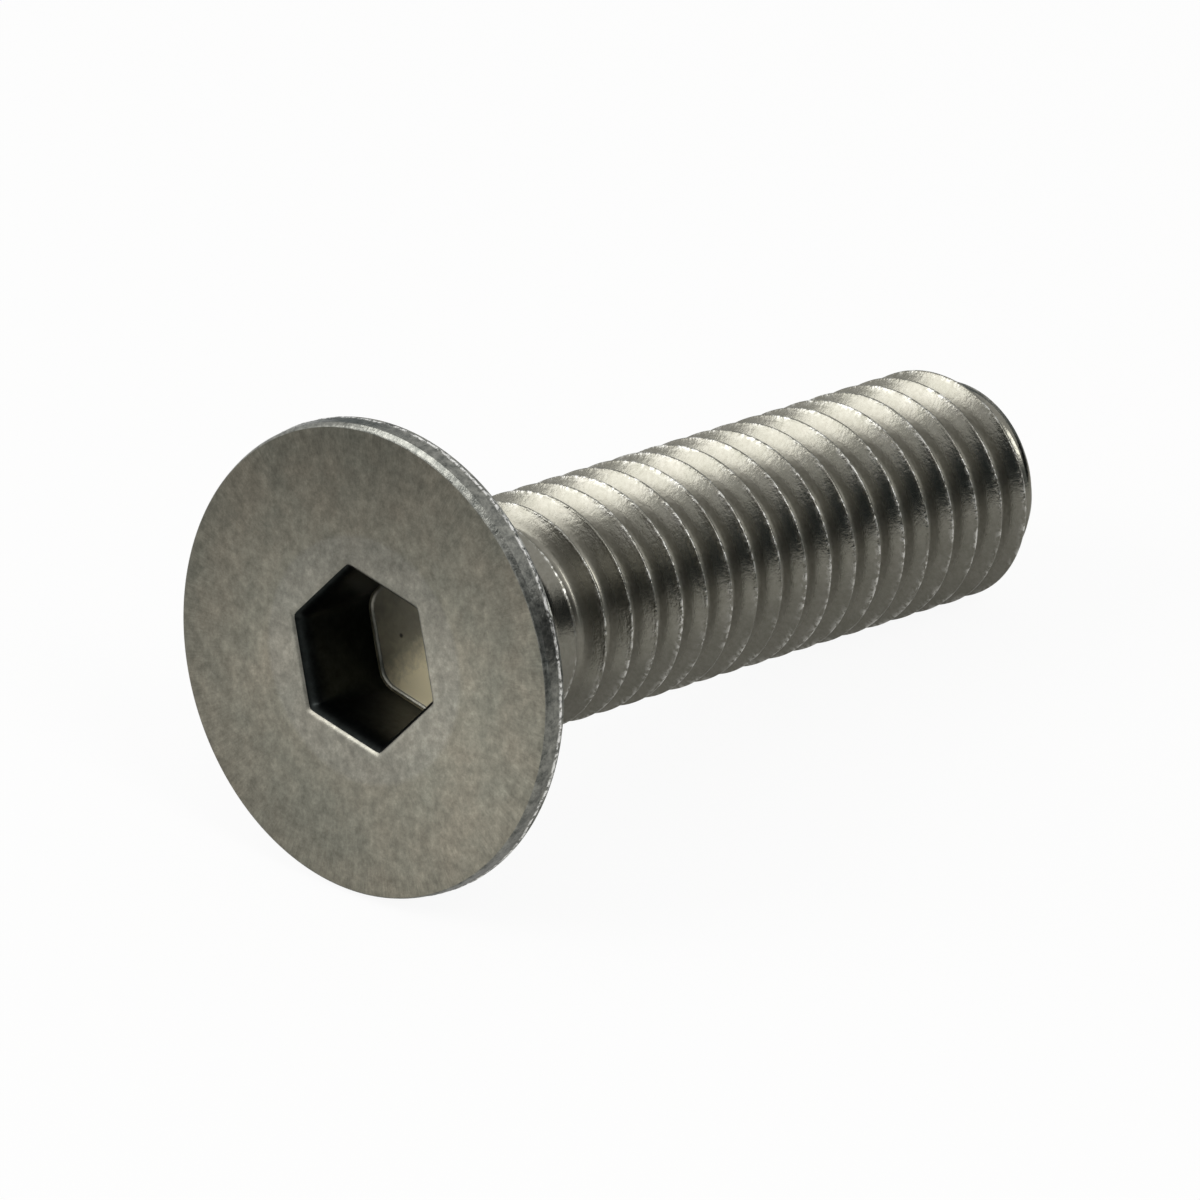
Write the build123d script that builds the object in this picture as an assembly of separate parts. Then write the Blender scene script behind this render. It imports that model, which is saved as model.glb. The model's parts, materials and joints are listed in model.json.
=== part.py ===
from build123d import *

# Countersunk socket screw: a 90 degree head with a hexagon socket, and a metric thread along the whole shank.
# It is one piece of steel: a headed blank, with the thread rolled on it and the socket punched into it, and the
# solid is made in those steps. It is built standing on its face, +Z from the face to the tip, and is then laid
# down the way a loose screw comes to rest, on the rim of its head and on one of its last threads.

import os
from math import atan2, ceil, cos, degrees, floor, pi, radians, sin, tan

# ---- Driving dimensions, in millimetres and degrees ----

length = 30.0  # from the face to the tip, as a countersunk screw is measured

head_d = 16.0  # over the rim
rim_h = 0.72  # straight land between the face and the cone
rim_break = 0.12  # bevel that takes the edge off the face
cone_angle = 90.0  # the countersink that it seats in

neck_l = 0.9  # plain blank between the cone and the first thread
neck_round = 0.35  # fillet where the cone meets the neck

pitch = 1.25
thread_d = 7.87  # over the crests, a little under the nominal 8 mm
flank_angle = 60.0  # between the two sides of a groove
crest_share = 0.125  # the crest's width, in pitches
depth_share = 0.6134  # the groove's depth, in pitches
blank_share = 0.3248  # how far the blank's surface lies under the crests, in pitches
run_out = 1.0  # pitches over which the dies come to full depth
crest_lead = 0.32  # where the crests lie under the screw, in pitches from the face

point_l = 1.05  # length over which the thread fades out at the tip
nose_d = 7.2  # where the point's long taper meets the steep bevel of the cropped end
nose_l = 0.34  # length of that bevel
tip_d = 6.2  # the flat end

socket_af = 5.02  # across flats: a 5 mm key and its clearance
socket_depth = 3.5
socket_turn = 40.3  # from straight under the screw to a corner of the hexagon
roll_w = 0.34  # width and depth to which the punch has drawn down the mouth's edge
roll_h = 0.12
punch_bevel = 0.3  # bevel round the socket's floor, left by the punch's nose

# ---- Sizes that follow ----

head_r, crest_r, nose_r, tip_r = head_d / 2, thread_d / 2, nose_d / 2, tip_d / 2
root_r = crest_r - depth_share * pitch
neck_r = crest_r - blank_share * pitch
flank_slope = tan(radians(flank_angle / 2))

cone_end = rim_h + (head_r - neck_r) / tan(radians(cone_angle / 2))
thread_start = cone_end + neck_l
full_thread = thread_start + run_out * pitch

turn_parts = 6  # faces that make up one turn of each side of the thread
bite = 0.08  # how far one solid goes into the next where they are fused
slack = 0.04  # how far the rolled outline stands off the crests, so that it cuts only the thread's two ends


def turned(*outline):
    """A solid of revolution about the screw's axis, from (radius, station) points."""
    return revolve(Plane.XZ * Polygon(*outline, align=None), Axis.Z)


# ---- Blank: head, neck and the taper on which the grooves run out ----

head_outline = Polygon(
    (0, 0),
    (head_r, 0),
    (head_r, rim_h),
    (neck_r, cone_end),
    (neck_r, thread_start),
    (root_r - bite, full_thread),
    (0, full_thread),
    align=None,
)
head_outline = chamfer(head_outline.vertices().sort_by_distance((head_r, 0))[0], rim_break)
head_outline = fillet(head_outline.vertices().sort_by_distance((neck_r, cone_end))[0], neck_round)
head = revolve(Plane.XZ * head_outline, Axis.Z)

# ---- Thread: a helical ridge on a core, cut to the outline that the dies and the pointed blank give it ----


def half_width(r):
    """Half the ridge's width along the axis at radius r: half the crest, and more inward as the flanks spread."""
    return crest_share * pitch / 2 + (crest_r - r) * flank_slope


def helical_patch(a, b):
    """Ruled patch between the helices through the (radius, station) points a and b, over one part of a turn.

    Each long side is a rational arc with an even rise. Each is weighted by the other one's radius, as in a flat ring
    seen in perspective, which keeps the patch's straight lines straight and its mesh light.
    """
    half, rise = pi / turn_parts, pitch / turn_parts
    poles, weights = [], []
    for (r, z), weight in ((a, b[0]), (b, a[0])):
        poles.append(
            [(r, 0, z), (r, r * tan(half), z + rise / 2), (r * cos(2 * half), r * sin(2 * half), z + rise)]
        )
        weights.append([weight, weight * cos(half), weight])
    return Face.make_bezier_surface(poles, weights)


def helical_ridge(start, turns, foot_r, top_r):
    """A right-hand ridge: patches between the helices of its section's corners, and a flat at each end."""
    section = [
        (foot_r, -half_width(foot_r)),
        (top_r, -half_width(top_r)),
        (top_r, half_width(top_r)),
        (foot_r, half_width(foot_r)),
    ]
    part = [helical_patch(a, b) for a, b in zip(section, section[1:] + section[:1])]
    sides = [
        Pos(0, 0, start + k * pitch / turn_parts) * Rot(0, 0, k * 360 / turn_parts) * face
        for k in range(turns * turn_parts)
        for face in part
    ]
    end = Face(Wire.make_polygon([(r, 0, z) for r, z in section], close=True))
    ends = [Pos(0, 0, start) * end, Pos(0, 0, start + turns * pitch) * end]
    return Solid(Shell(sides + ends))


run_out_slope = (crest_r - neck_r) / (full_thread - thread_start)
point_slope = (crest_r - nose_r) / (point_l - nose_l)
rolled_outline = turned(
    (0, thread_start),
    (neck_r, thread_start),
    (crest_r + slack, full_thread + slack / run_out_slope),
    (crest_r + slack, length - point_l - slack / point_slope),
    (nose_r, length - nose_l),
    (tip_r, length),
    (0, length),
)

# the ridge starts in the neck's core and ends past the tip, where the outline cuts it off
ridge_start = (floor(thread_start / pitch - crest_lead) - 1 + crest_lead) * pitch
ridge_turns = ceil((length - ridge_start) / pitch) + 1
ridge = helical_ridge(ridge_start, ridge_turns, root_r - bite, crest_r)
core = turned((0, cone_end), (root_r, cone_end), (root_r, length + pitch), (0, length + pitch))
thread = (core + ridge) & rolled_outline

# ---- Socket: walls, a bevel round the floor, and the mouth's edge drawn down ----


def hexagon(across_flats, z=0):
    return Pos(0, 0, z) * RegularPolygon(across_flats / 2, 6, major_radius=False, rotation=socket_turn)


walls = extrude(hexagon(socket_af), socket_depth)
nose = chamfer(walls.edges().group_by(Axis.Z)[-1], punch_bevel)
mouth = loft([hexagon(socket_af + 2 * roll_w), hexagon(socket_af, roll_h)])

screw = head + thread - (nose + mouth)

# ---- Rest: on the rim's back edge and on whichever crest near the tip comes down first ----


def laid(dip):
    """The screw on the floor by its rim's back edge, with its axis dipping towards the tip."""
    lift = rim_h * sin(dip) + head_r * cos(dip)
    return Pos(0, 0, lift) * Rot(0, 90 + degrees(dip), 0) * screw


# from a dip that would sink the thread into the floor, each pass raises the tip until the thread only touches it
dip = atan2(head_r - root_r, length - rim_h)
for _ in range(4):
    dip += laid(dip).bounding_box().min.Z / (length - rim_h)

screw = Pos(-laid(dip).bounding_box().center().X, 0, 0) * laid(dip)

os.makedirs("parts", exist_ok=True)
export_step(screw, "parts/screw.step")

box = screw.bounding_box()
print(f"dip {degrees(dip):.3f} degrees, volume {screw.volume:.2f} mm3, {len(screw.faces())} faces")
print(f"box {box.min} to {box.max}")
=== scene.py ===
# %% [markdown]
# # Countersunk socket screw
# A cold-headed steel screw: a flat face with a punched hexagon, a thin rim, a 90 degree cone, and a rolled thread to
# the tip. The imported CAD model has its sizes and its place. That solid could be shown as it is, but its flat facets
# and sharp corners would tell, so the same screw is made here as one fine mesh, with the marks that the tools left.
# Distances are written in millimetres, and become metres in one place, when the mesh is built.

# %% Load the frame
import json

import bmesh
import bpy
import numpy as np
from mathutils import Matrix, Vector


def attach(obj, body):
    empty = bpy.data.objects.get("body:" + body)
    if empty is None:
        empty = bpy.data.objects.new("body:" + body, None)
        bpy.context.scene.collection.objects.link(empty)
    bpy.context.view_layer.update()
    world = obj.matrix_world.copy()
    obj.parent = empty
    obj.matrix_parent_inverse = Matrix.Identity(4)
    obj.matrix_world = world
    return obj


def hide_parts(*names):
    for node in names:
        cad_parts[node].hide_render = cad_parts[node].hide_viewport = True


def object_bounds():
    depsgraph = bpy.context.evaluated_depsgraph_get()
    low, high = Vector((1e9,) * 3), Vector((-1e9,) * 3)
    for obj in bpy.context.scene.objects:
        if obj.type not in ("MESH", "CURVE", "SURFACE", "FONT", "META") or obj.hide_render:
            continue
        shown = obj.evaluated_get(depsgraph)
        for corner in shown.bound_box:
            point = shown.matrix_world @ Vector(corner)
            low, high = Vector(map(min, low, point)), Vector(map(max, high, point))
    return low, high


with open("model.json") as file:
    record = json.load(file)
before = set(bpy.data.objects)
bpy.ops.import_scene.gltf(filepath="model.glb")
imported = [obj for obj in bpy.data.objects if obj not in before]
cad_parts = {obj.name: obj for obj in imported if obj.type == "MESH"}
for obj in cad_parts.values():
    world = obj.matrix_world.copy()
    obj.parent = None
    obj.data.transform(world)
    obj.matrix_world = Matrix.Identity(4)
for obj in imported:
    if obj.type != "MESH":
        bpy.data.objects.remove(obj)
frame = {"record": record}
cad_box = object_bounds()
mm = 0.001
print(f"CAD box {np.round(np.array(cad_box) / mm, 2).tolist()} mm")

# %% [markdown]
# ## Where the screw lies
# It lies on the rim of its head and on a crest near its tip, so its axis dips a little. The place could be measured
# on the CAD mesh, but the record already names the middle of the tip's flat end and the axis there. The face lies one
# length back along it. Three directions follow: the axis, sideways, and straight down across the axis.

# %% The screw's own directions
length = 30.0
tip_mount = next(mount for mount in frame["record"]["mounts"] if mount["name"] == "tip_face")
axis = np.array(tip_mount["axis"])
axis /= np.linalg.norm(axis)
side = np.array((0.0, 1.0, 0.0))
down = np.cross(axis, side)
down *= -np.sign(down[2])
face_centre = np.array(tip_mount["pos_m"]) / mm - length * axis
print(f"face centre {face_centre.round(3)} mm, axis dips {np.degrees(np.arcsin(-axis[2])):.2f} degrees")

# %% [markdown]
# ## Camera
# A catalogue shows a screw with its shank's sides almost parallel. An orthographic camera would make them quite
# parallel, and a short lens would pinch the tip. A long lens far away is in between, as in a real studio. It looks
# down on the screw from the head's side. Its focal length comes from how many pixels a millimetre should cover at
# that distance, and the aim is moved off the screw's middle by a number of pixels.

# %% Camera
azimuth, elevation = np.radians(-48.588), np.radians(26.559)
camera_distance = 850.0
frame_pixels = 1200
pixels_per_mm = 30.342
sensor = 36.0
aim_along, aim_height = 14.0, 5.0
aim_shift = Vector((-48.4, -0.4)) / pixels_per_mm


def placed(name, data):
    """Makes an object from a mesh, a light or a camera, and puts it in the scene."""
    made = bpy.data.objects.new(name, data)
    bpy.context.collection.objects.link(made)
    return made


back = Vector((np.sin(azimuth) * np.cos(elevation), -np.cos(azimuth) * np.cos(elevation), np.sin(elevation)))
right = Vector((np.cos(azimuth), np.sin(azimuth), 0))
up = back.cross(right)
target = Vector((face_centre[0] + aim_along, 0, aim_height)) + aim_shift.x * right + aim_shift.y * up

camera_data = bpy.data.cameras.new("camera")
camera_data.sensor_width = sensor
camera_data.lens = pixels_per_mm * camera_distance * sensor / frame_pixels
camera_data.clip_start, camera_data.clip_end = 0.05, 10
camera = placed("camera", camera_data)
turned_back = back.to_track_quat("Z", "Y").to_matrix().to_4x4()
camera.matrix_world = Matrix.Translation(mm * (target + camera_distance * back)) @ turned_back
bpy.context.scene.camera = camera
print(f"lens {camera_data.lens:.0f} mm at {camera_distance:.0f} mm")

# %% [markdown]
# ## The blank's outline
# Seen from the side, the screw is one line turned about its axis. Bevel modifiers could round its corners, but they
# need clean edges, and a thread has none where it runs out. So the corners are rounded in the formula: each limit on
# the radius is joined to the next by a soft minimum or maximum, which rounds the corner by a set amount.

# %% Sizes, in millimetres along the axis from the face, or out from the axis
head_r, rim_h = 8.0, 0.72  # the rim's radius, and how far back the cone starts
rim_corner = head_r - 0.03  # the back edge of the rim is rubbed a little smaller
neck_r, neck_round, cone_end = 3.529, 0.35, 5.191  # the neck, its fillet, and where the cone's line would meet it
crest_r, root_r, pitch = 3.935, 3.168, 1.25
crest_half = 0.036  # half of the level top of a crest
crest_lead = 0.32  # where the crests lie straight under the screw, in pitches from the face
thread_from = cone_end + neck_round
point_start, nose_r, nose_start, tip_r = 29.0, 3.76, 29.68, 3.1  # a long taper, then a steep one to the flat end
nose_end = length - 0.035  # where the steep taper gives way to the rounded edge of the flat end
socket_af, socket_depth, socket_turn = 5.02, 3.5, np.radians(40.3)  # across flats, and the turn of one corner
print(f"head {2 * head_r} mm, crests {2 * crest_r} mm, pitch {pitch} mm, hexagon {socket_af} mm")


# %% Soft corners
def soft_min(a, b, blend):
    """Half of a + b less the root of (a - b) squared + blend squared: the smaller of two, rounded where they meet."""
    return 0.5 * (a + b - np.sqrt((a - b) ** 2 + blend**2))


def soft_max(a, b, blend):
    """The soft minimum of -a and -b, turned over: the larger of two, rounded where they meet."""
    return -soft_min(-a, -b, blend)


print(f"where two equal limits of 1 mm meet with a blend of 0.1: {soft_min(1.0, 1.0, 0.1):.3f} mm")

# %% [markdown]
# ## Laying a surface into the frame
# Every part of the surface is worked out in the screw's own terms: station along the axis from the face, radius, and
# angle from straight down. The parts could be separate objects, but then their edges would have to be matched by eye.
# One function turns all three numbers into a point, so that neighbours with the same numbers meet exactly. The
# hexagon was punched 0.11 mm off centre, and that is put in here too, because the face round it must follow.

# %% Points of the frame
punch_off = np.array((-0.02, 0.11))  # down and sideways
still_r, moved_over = 4.6, 1.3  # the face stays put outside the first, and moves wholly 1.3 mm further in
head_only = 4.0  # no further along than this, or the shank would move too


def laid(station, radius, angle):
    """Face centre + station along the axis + radius times (cosine of the angle down + sine of it sideways) + the
    punch's offset, times how far the radius is inside still_r as a share of moved_over, held to 0 and 1, and times
    nought from head_only on."""
    station, radius, angle = np.broadcast_arrays(station, radius, angle)
    spoke = np.cos(angle)[..., None] * down + np.sin(angle)[..., None] * side
    pulled = np.clip((still_r - radius) / moved_over, 0, 1) * (station < head_only)
    offset = pulled[..., None] * (punch_off[0] * down + punch_off[1] * side)
    return face_centre + station[..., None] * axis + radius[..., None] * spoke + offset


columns = 180
share = np.linspace(0, 1, columns + 1)[None, :]
turn = socket_turn + 2 * np.pi * share
fine_share = np.linspace(0, 1, 2 * columns + 1)[None, :]
fine_turn = socket_turn + 2 * np.pi * fine_share
print(f"{columns} columns round the screw, {2 * np.pi * crest_r / columns:.3f} mm apart at the crests")

# %% [markdown]
# ## Grids
# Each part is a grid of quads: rows along the screw, columns round it. Beside its points and faces it keeps its steel,
# and marks for the materials to read: how near a point is to a crest, to the bottom of a groove, and to the burr. The
# spoke is also kept, (cosine, sine, radius), so that a pattern can follow the turning of the steel. A texture could be
# painted on an unwrapped screw, but a helix unwraps badly and these numbers are at hand.

# %% Grids of quads
FACE, THREAD, RIM, WALL, FLOOR, CONE = range(6)
mark_names = ("crest", "hollow", "burr")
patches = []


def keep_patch(points, faces, steel, radius, angle, marks):
    """Keeps one part's points, faces, steel, spokes and marks, all in the order of its points."""
    grid = points.shape[:2]
    radius, angle = np.broadcast_to(radius, grid), np.broadcast_to(angle, grid)
    patches.append(
        {
            "points": points.reshape(-1, 3),
            "faces": faces,
            "steel": np.full(len(faces), steel),
            "spoke": np.stack((np.cos(angle), np.sin(angle), radius), -1).reshape(-1, 3),
            **{key: np.broadcast_to(marks.get(key, 0.0), grid).ravel() for key in mark_names},
        }
    )


def add_patch(station, radius, angle, steel, inward=False, **marks):
    """Each quad joins a point to the next in its row and to the two beside them in the next row. Inward turns the
    faces over, for the socket's hollow."""
    points = laid(station, radius, angle)
    index = np.arange(points.shape[0] * points.shape[1]).reshape(points.shape[:2])
    quads = np.stack((index[:-1, :-1], index[:-1, 1:], index[1:, 1:], index[1:, :-1]), -1).reshape(-1, 4)
    keep_patch(points, quads[:, ::-1] if inward else quads, steel, radius, angle, marks)
    return len(quads)


print(f"marks for the materials: {', '.join(mark_names)}, and the spoke")

# %% [markdown]
# The face and rim need twice as many columns as the rest, to show a ragged edge. Where a fine row meets a coarse one,
# a gap would open if the spare points were left alone. A ring of triangles, three to each coarse column, closes it.


# %% Rings that halve the columns
def add_halving_ring(station, radius, steel, inward=False):
    """Fine points 2k, 2k + 1 and 2k + 2 and coarse points k and k + 1 make three triangles, for every k at once."""
    fine = laid(station[0], radius[0], fine_turn)
    coarse = laid(station[1], radius[1], turn)
    first = np.arange(columns) * 2
    low = fine.shape[1] + np.arange(columns)
    corners = ((first, first + 1, low), (first + 1, low + 1, low), (first + 1, first + 2, low + 1))
    triangles = np.stack([np.stack(three, -1) for three in corners], 1).reshape(-1, 3)
    radii = np.concatenate((radius[0] + 0 * fine_turn, radius[1] + 0 * turn), 1)
    angles = np.concatenate((fine_turn, turn), 1)
    points = np.concatenate((fine, coarse), 1)
    keep_patch(points, triangles[:, ::-1] if inward else triangles, steel, radii, angles, {})
    return len(triangles)


print(f"a halving ring takes {2 * columns} columns to {columns}")

# %% [markdown]
# ## Thread
# Rolling dies press the grooves in and squeeze the steel up between them, so crests are narrow and a little ragged and
# roots are round. The thread could be a Screw modifier on a zigzag, but that can't fade in along the neck or follow
# the point. Here the grid's rows follow the helix: row m, turned by a share u, lies at station pitch times (m + u). A
# turn later each row has become the next pitch's row, so the two ends of the grid meet. Rows that would start before
# the thread or end after the tip are held at its end, and merge there when the mesh is built.

# %% Uneven rolling
rng = np.random.default_rng(12)


def smooth_noise(size, width):
    """Random numbers averaged over a window of width columns, then divided by twice their spread: about -1 to 1."""
    raw = rng.standard_normal(size + width)
    soft = np.convolve(raw, np.hanning(width + 2)[1:-1], mode="valid")[:size]
    return soft / (soft.std() * 2 + 1e-9)


first_turn = -2
turns = int(np.ceil(length / pitch)) + 3
crest_points = (turns + 1) * columns + 1
fine_wander, broad_wander = 0.006, 0.008
wander = smooth_noise(crest_points, 3) * fine_wander + smooth_noise(crest_points, 41) * broad_wander
print(f"crests wander by up to {np.abs(wander).max():.3f} mm over {crest_points} points")

# %% [markdown]
# The dies don't come to full depth at once. Beside the cone the crests are still as low as the neck, and they rise in
# a straight line over nearly two pitches, while the groove stays shut until the first whole crest has gone by.
# At the tip the last crest is left unfinished, and fades. Numbers of turns are counted along the helix, as the nearest
# crest's number plus the share of a turn, so that they run on where the grid's two ends meet.

# %% Radius of the thread
lead = crest_lead + socket_turn / (2 * np.pi)
flank_slope = np.tan(np.radians(30))
crest_blend, root_blend, belly = 0.032, 0.15, 0.02  # soft corners, and how far the flanks bulge
run_out = 2.3
groove_from, groove_ramp = 5.45, 0.5  # where the groove may start, and over what length it comes in
groove_spare, groove_blend = 0.05, 0.03  # the neck's limit ends up this much under the roots, out of the way
first_crest, opening = 4, 0.25  # turns from the face at which the groove is open, and over which it opens
last_crest, fading, faded = 23.05, 0.3, 0.75  # likewise for the last crest, and the share of its height that it loses
point_blend, nose_blend = 0.05, 0.12
hair = 1e-6  # keeps a row that lies just on the change of a number from falling to either side


def run_out_height(station):
    """Straight line from the neck's radius, where the thread starts, to the crest's radius, a run-out later."""
    return neck_r + (crest_r - neck_r) * np.clip((station - thread_from) / run_out, 0, 1)


def thread_radius(phase, station, ragged):
    """The crest's height, less how far the profile is sunk: nothing over the crest, the distance from it over the
    flank's slope on the flank, the groove's depth in the root, with soft corners. The neck limits it before the
    groove starts, an unopened groove takes the run-out's height, and the last crest and two tapers cut it down."""
    off = np.abs((phase + 0.5) % 1 - 0.5) * pitch
    sunk = soft_max((off - crest_half) / flank_slope, 0.0 * off, crest_blend)
    flank_share = np.clip(sunk / (crest_r - root_r), 0, 1)
    sunk = sunk - belly * np.sin(np.pi * flank_share) ** 2
    crest_wound = np.floor(phase + 0.5 + hair) + share
    height = run_out_height((crest_wound + lead) * pitch)
    radius = height - soft_min(sunk, crest_r - root_r, root_blend) + ragged
    cut = np.clip((station - groove_from) / groove_ramp, 0, 1)
    radius = soft_max(radius, neck_r - (neck_r - root_r + groove_spare) * cut, groove_blend)
    groove_wound = np.floor(phase + hair) + share
    shut = np.clip((first_crest - groove_wound) / opening, 0, 1)
    radius = radius + (run_out_height(station) - radius) * shut
    point = crest_r - (station - point_start) * (crest_r - nose_r) / (nose_start - point_start)
    nose = nose_r - (station - nose_start) * (nose_r - tip_r) / (length - nose_start)
    fade = np.clip((crest_wound - last_crest) / fading, 0, 1)
    radius = np.minimum(radius, crest_r - (crest_r - root_r) * faded * fade)
    return soft_min(soft_min(radius, point, point_blend), nose, nose_blend)


print(f"run-out rises {crest_r - neck_r:.3f} mm over {run_out} mm")

# %% [markdown]
# Rows lie close together over the crest and at the root's corners, where the line bends, and far apart between them.
# The marks follow: one is strong on the crests, where the steel is torn, and one in the bottoms of the grooves, which
# the dies reach last and rub least.

# %% Rows along the helix
half_profile = np.array((0, 0.018, 0.032, 0.046, 0.065, 0.11, 0.18, 0.26, 0.33, 0.38, 0.43))
profile = np.concatenate((half_profile, (0.5,), 1 - half_profile[:0:-1]))
rows_turn = np.repeat(np.arange(turns), len(profile)) + first_turn
rows_phase = np.tile(profile, turns)
station = (rows_turn + rows_phase + lead)[:, None] * pitch + share * pitch
station = np.clip(station, thread_from, nose_end)
phase = station / pitch - lead - share
along = ((rows_turn - first_turn)[:, None] + (rows_phase > 0.5)[:, None]) * columns + np.arange(columns + 1)[None, :]
print(f"{len(profile)} rows to a turn, {turns} turns")

# %% Thread
crest_width, start_blend, worn_over = 0.052, 0.15, 0.6  # in pitches, and in millimetres after the thread's start
hollow_from, hollow_depth = 0.18, 0.38  # under the crests
end_catch = 0.005
crest = np.exp(-((((phase + 0.5) % 1 - 0.5) / crest_width) ** 2))
radius = np.minimum(thread_radius(phase, station, wander[along] * crest), crest_r)
radius = neck_r + (radius - neck_r) * np.clip((station - thread_from) / start_blend, 0, 1)
nose_end_r = nose_r - (nose_end - nose_start) * (nose_r - tip_r) / (length - nose_start)
radius = np.where(station >= nose_end - end_catch, np.minimum(radius, nose_end_r), radius)
radius = np.where(station >= nose_end, nose_end_r, radius)
worn = crest * np.clip((station - thread_from) / worn_over, 0, 1)
hollow = np.clip((crest_r - hollow_from - radius) / hollow_depth, 0, 1) * (station < point_start)
count = add_patch(station, radius, turn, THREAD, crest=worn, hollow=hollow)
print(f"thread: {count} quads in {turns} turns")

# %% [markdown]
# ## Tip
# The blank was cropped, and the dies folded its end a little, so the flat end is very slightly dished and its edge is
# round. It could be one flat face, but rings let the edge round over and the middle sink. The rings shrink to the
# axis, where they merge into one pole.

# %% Tip
dish = 0.05
edge_back, edge_out = 0.012, 0.020
flat = np.concatenate(((1, 0.988), np.linspace(0.96, 0, 6)))[:, None]
end_station = np.concatenate(([[nose_end], [length - edge_back]], length - dish * (1 - flat**2)))
end_radius = np.concatenate(([[nose_end_r], [tip_r + edge_out]], tip_r * flat))
count = add_patch(end_station, end_radius, turn, THREAD)
print(f"tip: {count} quads, dished by {dish} mm")

# %% [markdown]
# ## Neck and cone
# Behind the rim the head is a plain 90 degree cone, which seats in the countersink, and a small fillet takes it into
# the neck. A cone primitive would be quicker, but its rim wouldn't meet the ragged rim's columns. So a halving ring
# takes the rim's columns to the thread's, the cone follows, and the fillet is the soft maximum of cone and neck.

# %% Neck and cone
ring_h, fillet_blend = 0.08, 0.12
cone_top = rim_h + ring_h
cone_share = np.linspace(0, 1, 11)[:, None]
cone_station = cone_top + cone_share * (cone_end - neck_round - cone_top)
cone_radius = rim_corner - (cone_station - rim_h)
add_halving_ring((rim_h, cone_top), (rim_corner, cone_radius[0, 0]), CONE)
count = add_patch(cone_station, cone_radius, turn, CONE)
turn_in = np.linspace(0, 1, 9)[:, None]
fillet_station = cone_end + neck_round * (2 * turn_in - 1)
fillet_radius = soft_max(rim_corner - (fillet_station - rim_h), neck_r + 0 * fillet_station, fillet_blend)
fillet_radius += (cone_radius[-1] - fillet_radius[0]) * (1 - turn_in) + (neck_r - fillet_radius[-1]) * turn_in
count += add_patch(fillet_station, fillet_radius, turn, THREAD)
print(f"cone and fillet: {count} quads, from {cone_top:.2f} to {thread_from:.2f} mm")

# %% [markdown]
# ## Rim
# The rim is the narrow edge that the heading die crushed. The face was pressed a little off centre, so the bevel
# between them is wider on one side, and steel has crept out at the back as a ragged burr. A displacement texture
# could roughen it, but not keep it inside the head's radius. Here each row's height is set, and its radius is the
# head's, less the bevel near the face and plus the burr near the back, with smooth noise round the screw.


# %% Edges of the rim
def edge_gap(angle):
    """From the face's edge to the rim: 0.11 mm, and up to 0.24 more on one side by a raised cosine to the fourth."""
    return 0.11 + 0.24 * (0.5 + 0.5 * np.cos(angle - np.radians(-152))) ** 4


def closed_noise(size, width):
    """Smooth noise whose last value is its first, for a line that runs once round the screw."""
    line = smooth_noise(size, width)
    line[-1] = line[0]
    return line[None, :]


fine_size = 2 * columns + 1
wave = 0.6  # weight of the fine and of the broad waves in the burr's line
burr_line = closed_noise(fine_size, 2) * wave + closed_noise(fine_size, 14) * wave
dent_line = closed_noise(fine_size, 2)
gap = edge_gap(fine_turn)
print(f"bevel {gap.min():.2f} to {gap.max():.2f} mm wide")

# %% Rim
edge_round, land_low = 0.03, 0.045  # rounding of the face's edge, and how far the land lies inside the head's radius
steep_h, gentle_h, steep_share = 0.11, 0.5, 0.6  # the bevel comes in steeply, then gently
burr_h, burr_wander, burr_width, burr_out, burr_dents = 0.585, 0.04, 0.08, 0.035, 0.014
behind_burr, behind_over = 0.02, 0.1
heights = (0, 0.004, 0.013, 0.03, 0.06, 0.11, 0.19, 0.29, 0.39, 0.47, 0.53, 0.565, 0.60, 0.635, 0.67, rim_h)
land = np.array(heights)[:, None]
bend = steep_share * np.clip(1 - land / steep_h, 0, 1) + (1 - steep_share) * np.clip(1 - land / gentle_h, 0, 1) ** 1.5
rounding = edge_round * np.clip(1 - land / edge_round, 0, 1) ** 2
burr_at = burr_h + burr_wander * burr_line
burr = np.exp(-(((land - burr_at) / burr_width) ** 2))
land_radius = head_r - land_low - (gap - land_low - edge_round) * bend - rounding
land_radius = land_radius + (burr_out + burr_dents * dent_line) * burr
land_radius -= behind_burr * np.clip((land - burr_at) / behind_over, 0, 1)
land_radius = np.minimum(land_radius, head_r)
land_radius[-1] = rim_corner
count = add_patch(land, land_radius, fine_turn, RIM, burr=burr)
print(f"rim: {count} quads, burr to {land_radius.max():.3f} mm")

# %% [markdown]
# ## Face
# The heading die presses the face flat. The punch then draws the hexagon's mouth down and leaves a shallow ring round
# it. A Boolean could cut the hexagon, but it leaves long thin faces that shade badly. Here the grid itself changes
# from six sides to a circle, row by row, between the mouth and the ring.


# %% Hexagon and pressed ring
corner_blend = 0.05


def hexagon(angle, across_flats, corner_reach=1.15):
    """Half the width across flats over the cosine of the angle from the nearest side's middle. At the corners it is
    held to corner_reach half widths by a soft minimum, which rounds them."""
    off = (angle - socket_turn) % (np.pi / 3) - np.pi / 6
    half = across_flats / 2
    return soft_min(half / np.cos(off), half * corner_reach + 0 * off, corner_blend)


ring_r = 4.1
centre_sink, centre_blend = 0.014, 0.05
ring_sink, ring_width = 0.010, 0.08


def face_sink(radius):
    """How far the face lies under its edge: a smooth step down inside the punch's ring, and a groove at the ring."""
    step = centre_sink / (1 + np.exp((radius - ring_r) / centre_blend))
    return step + ring_sink * np.exp(-(((radius - ring_r) / ring_width) ** 2))


print(f"hexagon reaches {hexagon(socket_turn, socket_af):.3f} mm at its corners, ring at {ring_r} mm")

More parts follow.
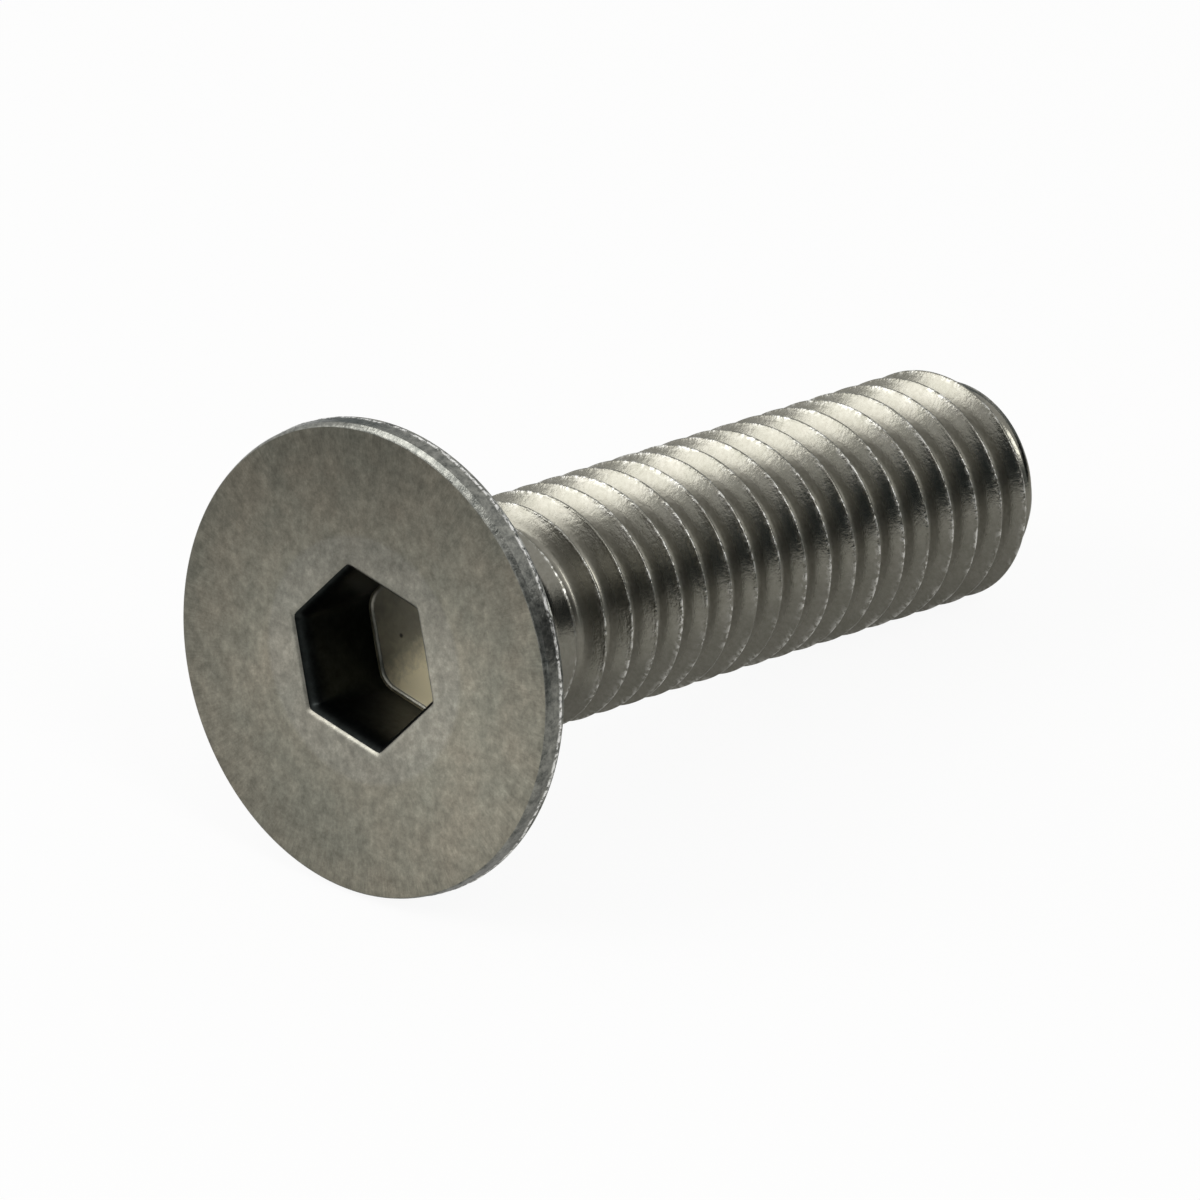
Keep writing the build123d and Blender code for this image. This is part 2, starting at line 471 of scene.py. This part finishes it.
# %% Face
draw_w, draw_h = 0.42, 0.8  # how wide and how deep the mouth is drawn down
round_r, quiet_r, fine_r = 3.75, 4.6, 4.85  # circles: the first, the last with few columns, the first with many
mouth_af, mouth_blend = socket_af + 2 * draw_w, 0.3
inner = np.linspace(0, 1, 8)[:, None]
inner_radius = hexagon(turn, mouth_af) * (1 - inner) + round_r * inner
ring_radius = np.linspace(round_r, quiet_r, 11)[1:, None] + 0 * turn
face_radius = np.concatenate((inner_radius, ring_radius))
mouth_fade = np.clip((face_radius - hexagon(turn, mouth_af)) / mouth_blend, 0, 1)
count = add_patch(face_sink(face_radius) * mouth_fade, face_radius, turn, FACE)
add_halving_ring((face_sink(fine_r), face_sink(quiet_r)), (fine_r, quiet_r), FACE, inward=True)
outer = np.linspace(0, 1, 11)[:, None]
outer_radius = fine_r * (1 - outer) + (head_r - edge_gap(fine_turn)) * outer
count += add_patch(face_sink(outer_radius) * (1 - outer), outer_radius, fine_turn, FACE)
print(f"face: {count} quads")

# %% [markdown]
# ## Socket
# A key turns the screw by the six walls. The punch draws the mouth's edge down in a quarter ellipse, so it is round
# and catches the light, then cuts straight walls. Its nose is bevelled, which leaves a bright band round the floor.
# A loft between hexagons would do, and this is one: rows of the same hexagon function, narrower and deeper in turn.

# %% Socket
punch_bevel, floor_dish = 0.13, 0.04
wall_reach, floor_reach = 1.15, 1.10  # how far the corners reach: the punch's own corners are worn at its nose
corner_wear, wear_over = 0.05, 1.5
face_rows = 5  # the first part of the mouth's curve still has the face's steel
shoulder = np.radians(np.array((0, 6, 12, 18, 25, 34, 47, 65, 90)))[:, None]
shoulder_radius = hexagon(turn, socket_af + 2 * draw_w * (1 - np.sin(shoulder)))
shoulder_station = draw_h * (1 - np.cos(shoulder))
count = add_patch(shoulder_station[:face_rows], shoulder_radius[:face_rows], turn, FACE, inward=True)
count += add_patch(shoulder_station[face_rows - 1 :], shoulder_radius[face_rows - 1 :], turn, WALL, inward=True)
wall = np.linspace(draw_h, socket_depth - punch_bevel, 6)[:, None]
worn_corner = corner_wear * np.clip((wall - draw_h) / wear_over, 0, 1)
count += add_patch(wall, hexagon(turn, socket_af, wall_reach - worn_corner), turn, WALL, inward=True)
bevel = np.radians(np.linspace(0, 90, 5))[:, None]
bevel_radius = hexagon(turn, socket_af - 2 * punch_bevel * (1 - np.cos(bevel)), floor_reach)
count += add_patch(socket_depth - punch_bevel * (1 - np.sin(bevel)), bevel_radius, turn, FACE, inward=True)
floor_share = np.linspace(1, 0, 7)[:, None]
floor_radius = hexagon(turn, socket_af - 2 * punch_bevel, floor_reach) * floor_share
count += add_patch(socket_depth + floor_dish * (1 - floor_share**2), floor_radius, turn, FLOOR, inward=True)
print(f"socket: {count} quads, {socket_af} mm across flats, mouth {mouth_af:.2f} mm")

# %% [markdown]
# ## One mesh
# The real screw is one piece, so its surface is one closed skin. Separate objects that only touch would show hairline
# gaps and could not be printed. All parts go into one mesh, points that coincide become one, which closes each seam
# and pole, and the open edges are counted: there must be none.


# %% Build one mesh
def joined(name, steels):
    """All parts' points in a row, with each part's faces moved on by the points before it. The points are held to
    the CAD model's box, which the burr and the crests would otherwise pass by a thousandth of a millimetre."""
    weld = 2e-6
    gathered = {key: np.concatenate([patch[key] for patch in patches]) for key in ("points", "spoke", *mark_names)}
    offsets = np.cumsum([0] + [len(patch["points"]) for patch in patches])
    faces = [face for patch, offset in zip(patches, offsets) for face in (patch["faces"] + offset).tolist()]
    mesh = bpy.data.meshes.new(name)
    held = np.clip(gathered["points"] * mm, np.array(cad_box[0]), np.array(cad_box[1]))
    mesh.from_pydata(held.tolist(), [], faces)
    for key in mark_names:
        layer = mesh.attributes.new(key, "FLOAT", "POINT")
        layer.data.foreach_set("value", gathered[key].astype(np.float32))
    layer = mesh.attributes.new("spoke", "FLOAT_VECTOR", "POINT")
    layer.data.foreach_set("vector", gathered["spoke"].astype(np.float32).ravel())
    mesh.polygons.foreach_set("material_index", np.concatenate([patch["steel"] for patch in patches]))
    for steel in steels:
        mesh.materials.append(steel)
    edit = bmesh.new()
    edit.from_mesh(mesh)
    bmesh.ops.remove_doubles(edit, verts=edit.verts, dist=weld)
    open_edges = sum(1 for edge in edit.edges if len(edge.link_faces) != 2)
    volume = edit.calc_volume(signed=True) / mm**3
    edit.to_mesh(mesh)
    edit.free()
    mesh.polygons.foreach_set("use_smooth", np.ones(len(mesh.polygons), bool))
    triangles = sum(len(face.vertices) - 2 for face in mesh.polygons)
    print(f"{name}: {triangles} triangles, {open_edges} open edges, {volume:.1f} mm3")
    return mesh


# %% [markdown]
# ## Colours and nodes
# Colours are written as sRGB, as a colour picker shows them, and turned to linear in one place. A noise texture's
# scale is how many cells there are to a metre, so it is worked out from the size that the pattern has on the steel.
# Nodes could be laid out by hand in the editor, but then nobody could read why. Here one small function adds any
# node, so that a material reads as a list of what it is made of.


# %% Colours and scales
def linear(code):
    """Each sRGB channel over 255, then, above a small toe, (channel + 0.055) / 1.055 to the power of 2.4."""
    channels = np.array([int(code[i : i + 2], 16) for i in (1, 3, 5)]) / 255
    return (*np.where(channels <= 0.04045, channels / 12.92, ((channels + 0.055) / 1.055) ** 2.4), 1.0)


def cells(size):
    """Cells to the metre of a pattern whose patches are size millimetres across: 1 / (size * mm), to two figures."""
    return float(f"{1 / (size * mm):.2g}")


print(f"#808080 is {linear('#808080')[0]:.3f} in linear light, 0.5 mm patches are {cells(0.5):.0f} cells to the metre")


# %% Nodes
def new_material(name):
    """An empty material, with the tree that its nodes go into."""
    material = bpy.data.materials.new(name)
    material.use_nodes = True
    material.node_tree.nodes.clear()
    return material, material.node_tree


def node(tree, kind, inputs=(), out=0, **settings):
    """Adds a node, sets its own settings, then its inputs: a value is written, a socket is linked. Inputs without
    names fill its sockets in order. Gives back the output that out names or numbers, where it has outputs."""
    made = tree.nodes.new(kind)
    for key, value in settings.items():
        setattr(made, key, value)
    for key, value in inputs.items() if isinstance(inputs, dict) else enumerate(inputs):
        if isinstance(value, bpy.types.NodeSocket):
            tree.links.new(value, made.inputs[key])
        else:
            made.inputs[key].default_value = value
    return made.outputs[out] if made.outputs else made


NOISE, BUMP, MARK = "ShaderNodeTexNoise", "ShaderNodeBump", "ShaderNodeAttribute"
MATHS, VECTOR = "ShaderNodeMath", "ShaderNodeVectorMath"
RANGE = "ShaderNodeMapRange"  # value, from low, from high, to low, to high; the ends are held
MIX = {"kind": "ShaderNodeMix", "data_type": "RGBA", "out": 2}  # sockets 0: share of the second colour, 6 and 7: both
STEEL, SURFACE = "ShaderNodeBsdfPrincipled", "ShaderNodeOutputMaterial"
grey_span = (0.3, 0.7)  # nearly all of a noise texture's values lie in this span
print(f"a pattern's values from {grey_span[0]} to {grey_span[1]} are spread over each range")

# %% [markdown]
# ## Face steel
# Austenitic stainless steel, pressed against a flat die and then tumbled. To the eye it is a warm grey satin: it
# blurs the light into soft patches. Its colour also holds painted light and shade: brighter towards one side, darker
# towards the edge, and two broad painted sheen bands. All that is seen of a metal is what it reflects, so metallic is
# 1, the colour tints the reflection, and the finish lies in the roughness. Typical satin is 0.3 to 0.5. The die's
# marks run outwards from the middle, and so read the spoke. The real grain is about 0.03 mm, as fine as a pixel, so
# the mottling is drawn at 0.43 mm, as coarse as it needs to show.

# %% Face steel
face_steel, tree = new_material("satin_pressed_stainless")
place = node(tree, "ShaderNodeTexCoord", out="Object")
spoke = node(tree, MARK, attribute_name="spoke", out="Vector")
radius_mm = node(tree, VECTOR, (spoke, (0, 0, 1)), operation="DOT_PRODUCT", out="Value")

# 110 streaks to a radian, so 0.07 mm wide at the head's edge, and about 1.1 mm long
drawn_out = node(tree, VECTOR, (spoke, (110, 110, 0.9)), operation="MULTIPLY")
streaks = node(tree, NOISE, {"Vector": drawn_out, "Scale": 1.0, "Detail": 3.0, "Roughness": 0.65})
blotch = node(tree, NOISE, {"Vector": place, "Scale": cells(2.4), "Detail": 4.0, "Roughness": 0.6})
mottle = node(tree, NOISE, {"Vector": place, "Scale": cells(0.43), "Detail": 4.0, "Roughness": 0.8})
print(f"face steel: patches {1000 / cells(2.4):.1f} and {1000 / cells(0.43):.2f} mm across")

# %% [markdown]
# The brightness of the face is a power of e, whose exponent adds up all that changes it. The first three terms are
# painted light and shade: how far out a point lies towards the lit side, how far out it lies at all, which darkens
# the edge, and twice the angle round the face, which paints two broad soft sheen bands. Then come the steel's own
# patches, the streaks and the punch's ring.

# %% Brightness of the face
# the side towards which the face is painted brighter
lit_side = np.radians(-30.6)
ring_edge = (ring_r - 0.05, ring_r + 0.15)
towards = node(tree, VECTOR, (spoke, (np.cos(lit_side), np.sin(lit_side), 0)), operation="DOT_PRODUCT", out="Value")
painted_lean_shade = node(tree, MATHS, (towards, radius_mm), operation="MULTIPLY")
turned_over = node(tree, VECTOR, (spoke, (1, -1, 0)), operation="MULTIPLY")
painted_sheen_bands = node(tree, VECTOR, (turned_over, spoke), operation="DOT_PRODUCT", out="Value")
streaky = node(tree, RANGE, (streaks, *grey_span, -0.12, 0.12))
further_out = node(tree, RANGE, (radius_mm, 5.4, 7.8, 0.2, 1))
drawn = node(tree, MATHS, (streaky, further_out), operation="MULTIPLY")
blotchy = node(tree, RANGE, (blotch, *grey_span, -0.12, 0.12))
mottled = node(tree, RANGE, (mottle, *grey_span, -0.34, 0.34))
pressed = node(tree, RANGE, (radius_mm, *ring_edge, 1, 0))
# painted light and shade: brighter towards one side, darker towards the edge, and two painted sheen bands
painted_light_terms = ((painted_lean_shade, 0.05), (radius_mm, -0.08), (painted_sheen_bands, -0.12))
by_pattern = ((blotchy, 1), (mottled, 1), (drawn, 1), (pressed, 0.02))
painted_shade_and_mottle = 0.0
for term, weight in painted_light_terms + by_pattern:
    painted_shade_and_mottle = node(tree, MATHS, (term, weight, painted_shade_and_mottle), operation="MULTIPLY_ADD")
shade = node(tree, MATHS, (painted_shade_and_mottle,), operation="EXPONENT")
print(f"brightness of the face: e to a sum of {len(painted_light_terms + by_pattern)} terms")

# %% Colour and finish of the face
warmth = node(tree, RANGE, (blotch, 0.35, 0.65, 0, 1))
colour = node(tree, **MIX, inputs={0: warmth, 6: linear("#9b9a8d"), 7: linear("#999486")})
cooler = node(tree, MATHS, (pressed, 0.4), operation="MULTIPLY")
colour = node(tree, **MIX, inputs={0: cooler, 6: colour, 7: linear("#9d9c95")})
# the colour is scaled by the painted shade and by the steel's own mottling
colour = node(tree, VECTOR, {0: colour, "Scale": shade}, operation="SCALE")
roughness = node(tree, RANGE, (blotch, *grey_span, 0.34, 0.44))
normal = node(tree, BUMP, {"Strength": 1.0, "Distance": 0.002 * mm, "Height": streaks})
normal = node(tree, BUMP, {"Strength": 1.0, "Distance": 0.007 * mm, "Height": mottle, "Normal": normal})
shader = node(tree, STEEL, {"Base Color": colour, "Metallic": 1.0, "Roughness": roughness, "Normal": normal})
node(tree, SURFACE, {"Surface": shader})
print(f"{face_steel.name}: {len(tree.nodes)} nodes, streaks 0.002 mm and mottling 0.007 mm deep")

# %% [markdown]
# ## Thread steel
# The same stainless, rolled: the dies burnish it, so it mirrors its surroundings in bands along the flanks, with a
# roughness of only 0.2. The crests are where the steel met in the middle, torn into a bright broken line, which is
# partly the lamps' glints on the torn steel and partly painted glint, and the bottoms of the grooves are duller. To
# the eye, that is dark and light bands with fine sparkling lines between them. The painted glint is a near-white
# colour on grains 0.19 mm across, which is coarser than the real tears, in patches 1.25 mm long, and there the metal
# scatters light like a powder, so its metallic falls to 0.65.

# %% Thread steel
thread_steel, tree = new_material("rolled_stainless")
place = node(tree, "ShaderNodeTexCoord", out="Object")
crest_mark = node(tree, MARK, attribute_name="crest", out="Fac")
hollow_mark = node(tree, MARK, attribute_name="hollow", out="Fac")
grain = node(tree, NOISE, {"Vector": place, "Scale": cells(0.154), "Detail": 3.0, "Roughness": 0.7})
blotch = node(tree, NOISE, {"Vector": place, "Scale": cells(1.11), "Detail": 3.0, "Roughness": 0.6})
torn = node(tree, NOISE, {"Vector": place, "Scale": cells(0.192), "Detail": 2.0, "Roughness": 0.7})
patchy = node(tree, NOISE, {"Vector": place, "Scale": cells(1.25), "Detail": 2.0, "Roughness": 0.6})

lighter = node(tree, RANGE, (blotch, *grey_span, 0, 1))
colour = node(tree, **MIX, inputs={0: lighter, 6: linear("#7a7970"), 7: linear("#84827a")})
colour = node(tree, **MIX, inputs={0: hollow_mark, 6: colour, 7: linear("#807e75")})
grained = node(tree, RANGE, (grain, *grey_span, 0, 0.4))
colour = node(tree, **MIX, inputs={0: grained, 6: colour, 7: linear("#605d52")})
# painted glint: torn grains on the crests are coloured near white
in_grains = node(tree, RANGE, (torn, 0.46, 0.56, 0, 1))
in_patches = node(tree, RANGE, (patchy, 0.40, 0.56, 0, 1))
bright = node(tree, MATHS, (in_grains, in_patches), operation="MULTIPLY")
painted_crest_glint = node(tree, MATHS, (crest_mark, bright), operation="MULTIPLY")
colour = node(tree, **MIX, inputs={0: painted_crest_glint, 6: colour, 7: linear("#d8d7d1")})
print(f"thread steel: grain {1000 / cells(0.154):.2f} mm, tears {1000 / cells(0.192):.2f} mm")

# %% Finish of the thread
burnished, dulled, torn_rough, tear_depth = 0.2, 0.32, 0.08, 0.042
torn_crest = node(tree, MATHS, (crest_mark, torn), operation="MULTIPLY")
normal = node(tree, BUMP, {"Strength": 1.0, "Distance": 0.008 * mm, "Height": grain})
normal = node(tree, BUMP, {"Strength": 1.0, "Distance": tear_depth * mm, "Height": torn_crest, "Normal": normal})
in_hollow = node(tree, RANGE, (hollow_mark, 0, 1, burnished, dulled))
on_crest = node(tree, RANGE, (crest_mark, 0, 1, 0, torn_rough))
roughness = node(tree, MATHS, (in_hollow, on_crest), operation="ADD")
metallic = node(tree, RANGE, (painted_crest_glint, 0, 1, 1.0, 0.65))
shader = node(tree, STEEL, {"Base Color": colour, "Metallic": metallic, "Roughness": roughness, "Normal": normal})
node(tree, SURFACE, {"Surface": shader})
print(f"{thread_steel.name}: {len(tree.nodes)} nodes, tears {tear_depth} mm deep")

# %% [markdown]
# ## Cone steel
# The cone was formed against a plain die and never rolled. It is the dullest part: darker, with a roughness of 0.40
# to 0.48, so it blurs everything it reflects and throws no bright line on the thread beside it. It could share the
# face's steel, but the face was rubbed bright and the cone wasn't.

# %% Cone steel
cone_steel, tree = new_material("headed_stainless")
place = node(tree, "ShaderNodeTexCoord", out="Object")
grain = node(tree, NOISE, {"Vector": place, "Scale": cells(0.31), "Detail": 3.0, "Roughness": 0.7})
blotch = node(tree, NOISE, {"Vector": place, "Scale": cells(2.0), "Detail": 3.0, "Roughness": 0.6})
lighter = node(tree, RANGE, (blotch, *grey_span, 0, 1))
grained = node(tree, RANGE, (grain, *grey_span, 0, 0.3))
colour = node(tree, **MIX, inputs={0: lighter, 6: linear("#5f5d56"), 7: linear("#706e66")})
colour = node(tree, **MIX, inputs={0: grained, 6: colour, 7: linear("#4a4842")})
roughness = node(tree, RANGE, (blotch, *grey_span, 0.40, 0.48))
normal = node(tree, BUMP, {"Strength": 1.0, "Distance": 0.006 * mm, "Height": grain})
shader = node(tree, STEEL, {"Base Color": colour, "Metallic": 1.0, "Roughness": roughness, "Normal": normal})
node(tree, SURFACE, {"Surface": shader})
print(f"{cone_steel.name}: {len(tree.nodes)} nodes")

# %% [markdown]
# ## Rim steel
# The rim was crushed between the dies. It is crystalline to the eye: dark grey flecked with paler grey. The broken
# white line along the burr is painted glint: the tiny facets of torn steel that catch the light are coloured near
# white. Those facets are far finer than a pixel, so they are drawn at 0.19 mm, and given a low metallic, as a heap of
# facets scatters light whichever way it falls.

# %% Rim steel
rim_steel, tree = new_material("sheared_stainless")
place = node(tree, "ShaderNodeTexCoord", out="Object")
burr_mark = node(tree, MARK, attribute_name="burr", out="Fac")
shear = node(tree, NOISE, {"Vector": place, "Scale": cells(0.29), "Detail": 4.0, "Roughness": 0.75})
facets = node(tree, NOISE, {"Vector": place, "Scale": cells(0.192), "Detail": 3.0, "Roughness": 0.75})
flecks = node(tree, RANGE, (shear, *grey_span, 0, 1))
colour = node(tree, **MIX, inputs={0: flecks, 6: linear("#4c4e4b"), 7: linear("#93938c")})
# painted glint: facets along the burr are coloured near white
on_burr = node(tree, RANGE, (burr_mark, 0.25, 0.7, 0, 1))
painted_glint_facets = node(tree, RANGE, (facets, 0.43, 0.55, 0, 1))
ragged = node(tree, MATHS, (on_burr, painted_glint_facets), operation="MULTIPLY")
colour = node(tree, **MIX, inputs={0: ragged, 6: colour, 7: linear("#efeeea")})
metallic = node(tree, RANGE, (ragged, 0, 1, 1.0, 0.2))
normal = node(tree, BUMP, {"Strength": 1.0, "Distance": 0.010 * mm, "Height": shear})
normal = node(tree, BUMP, {"Strength": 1.0, "Distance": 0.014 * mm, "Height": facets, "Normal": normal})
shader = node(tree, STEEL, {"Base Color": colour, "Metallic": metallic, "Roughness": 0.30, "Normal": normal})
node(tree, SURFACE, {"Surface": shader})
print(f"{rim_steel.name}: {len(tree.nodes)} nodes")

# %% [markdown]
# ## Socket steel
# The punch scraped down the walls. Their colour is painted shade, near black for the shade deep in the hole, so to
# the eye the walls are nearly black with a faint satin sheen. A wall of the steel's own colour would mirror the
# bright mouth and look shallow.

# %% Socket steel
socket_steel, tree = new_material("punched_stainless_painted_dark")
place = node(tree, "ShaderNodeTexCoord", out="Object")
grain = node(tree, NOISE, {"Vector": place, "Scale": cells(0.38), "Detail": 3.0, "Roughness": 0.7})
grained = node(tree, RANGE, (grain, *grey_span, 0, 1))
# painted shade: the walls are coloured near black for the shade deep in the hole
colour = node(tree, **MIX, inputs={0: grained, 6: linear("#1b1d1c"), 7: linear("#292c2b")})
normal = node(tree, BUMP, {"Strength": 1.0, "Distance": 0.006 * mm, "Height": grain})
shader = node(tree, STEEL, {"Base Color": colour, "Metallic": 1.0, "Roughness": 0.36, "Normal": normal})
node(tree, SURFACE, {"Surface": shader})
print(f"{socket_steel.name}: {len(tree.nodes)} nodes")

# %% [markdown]
# ## Socket floor
# The punch's nose pressed the floor without scraping it, so it keeps a thin skin of straw-coloured scale. A pool of
# light is painted on it towards one corner, where light falls into the hole. Scale is an oxide and only half a
# metal, so its metallic is low and its roughness 0.5, and to the eye it is a soft warm patch at the end of a dark
# hole. One speck of dirt has stuck to it. The spoke times its own radius gives millimetres across the floor, in which
# the painted light's direction and the speck's place are set.

# %% Socket floor
floor_steel, tree = new_material("scaled_stainless")
towards_painted_light, speck_at, speck_r = (0.66, -0.75, 0), (0.38, 1.36, 0), 0.10
place = node(tree, "ShaderNodeTexCoord", out="Object")
stain = node(tree, NOISE, {"Vector": place, "Scale": cells(1.67), "Detail": 3.0, "Roughness": 0.6})
grain = node(tree, NOISE, {"Vector": place, "Scale": cells(0.24), "Detail": 3.0, "Roughness": 0.7})
spoke = node(tree, MARK, attribute_name="spoke", out="Vector")
radius_mm = node(tree, VECTOR, (spoke, (0, 0, 1)), operation="DOT_PRODUCT", out="Value")
across = node(tree, VECTOR, {0: spoke, "Scale": radius_mm}, operation="SCALE")
level = node(tree, VECTOR, (across, (1, 1, 0)), operation="MULTIPLY")
from_speck = node(tree, VECTOR, (level, speck_at), operation="DISTANCE", out="Value")
ragged = node(tree, RANGE, (grain, *grey_span, -0.2, 0.2))
along_painted_light = node(tree, VECTOR, (across, towards_painted_light), operation="DOT_PRODUCT", out="Value")
along_painted_light = node(tree, MATHS, (along_painted_light, ragged), operation="ADD")
stained = node(tree, RANGE, (stain, 0.35, 0.65, 0, 1))
grained = node(tree, RANGE, (grain, *grey_span, 0, 0.3))
# painted light: the floor turns near white towards one corner, where light falls in
painted_light_pool = node(tree, RANGE, (along_painted_light, -0.45, 0.55, 0, 1))
dirty = node(tree, RANGE, (from_speck, 0.4 * speck_r, speck_r, 0.85, 0))
colour = node(tree, **MIX, inputs={0: stained, 6: linear("#8e8a7a"), 7: linear("#ada68c")})
colour = node(tree, **MIX, inputs={0: grained, 6: colour, 7: linear("#66625a")})
colour = node(tree, **MIX, inputs={0: painted_light_pool, 6: colour, 7: linear("#fff2ca")})
colour = node(tree, **MIX, inputs={0: dirty, 6: colour, 7: linear("#161615")})
normal = node(tree, BUMP, {"Strength": 1.0, "Distance": 0.008 * mm, "Height": grain})
shader = node(tree, STEEL, {"Base Color": colour, "Metallic": 0.3, "Roughness": 0.5, "Normal": normal})
node(tree, SURFACE, {"Surface": shader})
print(f"{floor_steel.name}: {len(tree.nodes)} nodes, speck {2 * speck_r} mm across")

# %% [markdown]
# ## Lay the piece in the frame
# The mesh already holds its place, so the object stays at the origin. It takes the place of the CAD node, which is
# hidden, and rides on the only body. Edges sharper than 38 degrees stay crisp and the rest shade smoothly: a Bevel
# modifier could catch the light on the crisp ones, but their roundings are in the mesh already.

# %% Lay the piece in the frame
crisp = np.radians(38)
mesh = joined("countersunk_screw", (face_steel, thread_steel, rim_steel, socket_steel, floor_steel, cone_steel))
mesh.set_sharp_from_angle(angle=crisp)
screw = placed("countersunk_screw", mesh)
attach(screw, "root")
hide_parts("screw")
print(f"{screw.name} rides on root with {len(mesh.materials)} steels")

# %% [markdown]
# ## Floor
# Polished metal shows its surroundings, so they are built as in a product studio: a pale floor, a large soft window on
# the left, a narrow one on the right, and cards out of the lens's sight. A white background is a matter of the floor's
# colour and not of more light: to the lens and to see-through things the paper is nearly all plain white and only a
# little matt, so it keeps a faint shadow. To a reflection it is mostly the matt paper, which is dim under the screw.


# %% Helpers for the studio
def flat_mesh(name, points, faces, material):
    """A mesh of the given points and faces in one material, placed in the scene."""
    mesh = bpy.data.meshes.new(name)
    mesh.from_pydata(points, [], faces)
    mesh.materials.append(material)
    made = placed(name, mesh)
    return made


def seen_share(tree, shares):
    """The largest of the shares whose kind of ray is looking, and nought for light that only falls on things."""
    total = 0.0
    for kind, kind_share in shares.items():
        looking = node(tree, "ShaderNodeLightPath", out=kind)
        part = node(tree, MATHS, (looking, kind_share), operation="MULTIPLY")
        total = node(tree, MATHS, (part, total), operation="MAXIMUM")
    return total


# %% Floor
paper, tree = new_material("pale_floor_paper")
white_share = seen_share(tree, {"Is Camera Ray": 0.93, "Is Transmission Ray": 0.93, "Is Glossy Ray": 0.22})
matt = node(tree, "ShaderNodeBsdfDiffuse", {"Color": linear("#f0efec")})
white = node(tree, "ShaderNodeEmission", {"Color": (1, 1, 1, 1), "Strength": 1.0})
paper_seen = node(tree, "ShaderNodeMixShader", (white_share, matt, white))
node(tree, SURFACE, {"Surface": paper_seen})
reach = 3.0
floor_corners = [(-reach, -reach, 0), (reach, -reach, 0), (reach, reach, 0), (-reach, reach, 0)]
floor = flat_mesh("floor", floor_corners, [(0, 1, 2, 3)], paper)
print(f"{floor.name}: {2 * reach:.0f} m square, {paper.name}")

# %% [markdown]
# ## World
# The world is a plain dome: 0.6 of full white for the light that falls on the screw, which is the level at which a
# colour renders about as it is written, and full white for the lens and for what metal and glass show of it.

# %% World
world = bpy.data.worlds.new("studio")
bpy.context.scene.world = world
world.use_nodes = True
tree = world.node_tree
tree.nodes.clear()
dome_grey, plain_white = (0.6, 0.6, 0.6, 1), (1, 1, 1, 1)
seen = seen_share(tree, {"Is Camera Ray": 1, "Is Glossy Ray": 1, "Is Transmission Ray": 1})
shade = node(tree, **MIX, inputs={0: seen, 6: dome_grey, 7: plain_white})
light = node(tree, "ShaderNodeBackground", {"Color": shade, "Strength": 1.0})
node(tree, "ShaderNodeOutputWorld", {"Surface": light})
print(f"dome {dome_grey[0]} of white")

# %% [markdown]
# ## Cards and windows
# Between white floor and white dome, bare metal would look white too. In a studio, cards are stood round it to draw its
# shape: here two dark ones give the shank its dark band, and paler ones beside them a soft grey. Black paint on the
# steel would do that for one view only. Headings are turned from the camera's own, minus to its left, and each card is
# a band of a cylinder round the screw. A big lamp on the left is the main light, and a narrow one on the right
# brightens the tops of the threads.


# %% Cards
def heading_from_camera(degrees):
    """The camera's own heading in the floor's plane, turned by this many degrees, minus to its left."""
    return np.radians(degrees - 90) + azimuth


def card(name, from_turn, to_turn, top, colour, distance=0.28, steps=32):
    """Points at distance times (cosine, sine) of each heading, on the floor and at distance times the tangent of the
    angle top, joined by quads. Half a millimetre of air under it keeps it clear of the floor."""
    air = 0.0005
    headings = heading_from_camera(np.linspace(from_turn, to_turn, steps + 1))
    heights = distance * np.tan(np.radians(np.array((0.0, top)))) + air
    x, y = distance * np.cos(headings), distance * np.sin(headings)
    points = np.stack((np.tile(x, 2), np.tile(y, 2), np.repeat(heights, steps + 1)), -1)
    lower = np.arange(steps)
    faces = np.stack((lower, lower + 1, lower + steps + 2, lower + steps + 1), -1)
    material, tree = new_material(name)
    matt = node(tree, "ShaderNodeBsdfDiffuse", {"Color": linear(colour)})
    node(tree, SURFACE, {"Surface": matt})
    made = flat_mesh(name, points.tolist(), faces.tolist(), material)
    made.visible_camera = False
    print(f"{name}: {from_turn} to {to_turn} degrees, {heights[1] / mm:.0f} mm high")


card("dark_card_front", -44, 18, 30, "#3a4348")
card("grey_card_front", 18, 50, 24, "#a0a8ac")
card("dark_card_right", 50, 119, 30, "#20272b")
card("grey_card_back", 119, 200, 30, "#a0a8ac")


# %% Windows
def window(name, turn_from_camera, height, width, tall, radiance, distance=0.4):
    """An area light that faces the screw. Its power is the radiance times pi times its area."""
    data = bpy.data.lights.new(name, "AREA")
    data.shape = "RECTANGLE"
    data.size, data.size_y = width, tall
    data.energy = radiance * np.pi * width * tall
    heading, rise = heading_from_camera(turn_from_camera), np.radians(height)
    spot = distance * Vector((np.cos(heading) * np.cos(rise), np.sin(heading) * np.cos(rise), np.sin(rise)))
    made = placed(name, data)
    made.location = spot
    made.rotation_euler = spot.to_track_quat("Z", "Y").to_euler()
    made.visible_camera = False
    print(f"{name}: {data.energy:.2f} W, {1000 * width:.0f} by {1000 * tall:.0f} mm")


window("left_window", -77, 38, 0.23, 0.20, 3.7)
window("front_window", 31, 42, 0.12, 0.18, 6.2)

# %% [markdown]
# ## Finish
# Standard view shows colours as they were written, where a filmic one would grey them.

# %% Finish
bpy.context.scene.view_settings.view_transform = "Standard"
